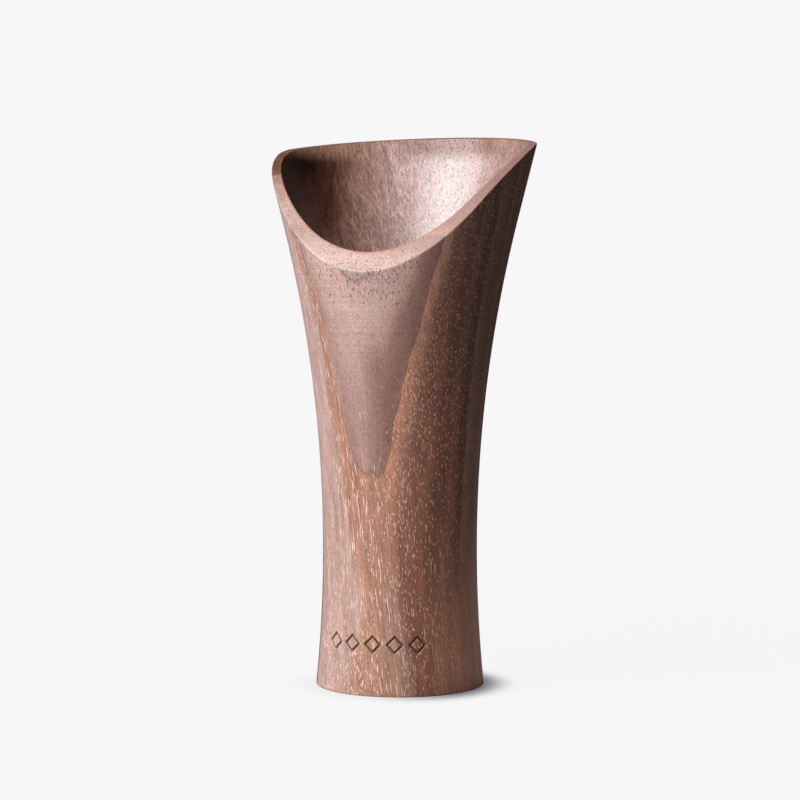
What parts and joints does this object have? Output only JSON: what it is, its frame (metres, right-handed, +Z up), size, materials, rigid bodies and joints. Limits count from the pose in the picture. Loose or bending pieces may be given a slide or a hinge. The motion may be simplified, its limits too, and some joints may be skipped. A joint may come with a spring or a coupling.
{
  "type": "wooden cup",
  "caption": "Tall turned wooden cup with a flat foot, a slim waist, a flared bowl and a rim scooped low at the front.",
  "frame": {"origin": "centre of the flat underside of the foot", "axes": "+Z up along the turning axis, -Y towards the low side of the scooped rim, +X to the right of someone who faces that side"},
  "size_m": [0.0678, 0.062, 0.14],
  "materials": {
    "walnut": "satin oiled, with open pores"
  },
  "bodies": {
    "root": {"cup_body": "walnut"}
  },
  "joints": []
}
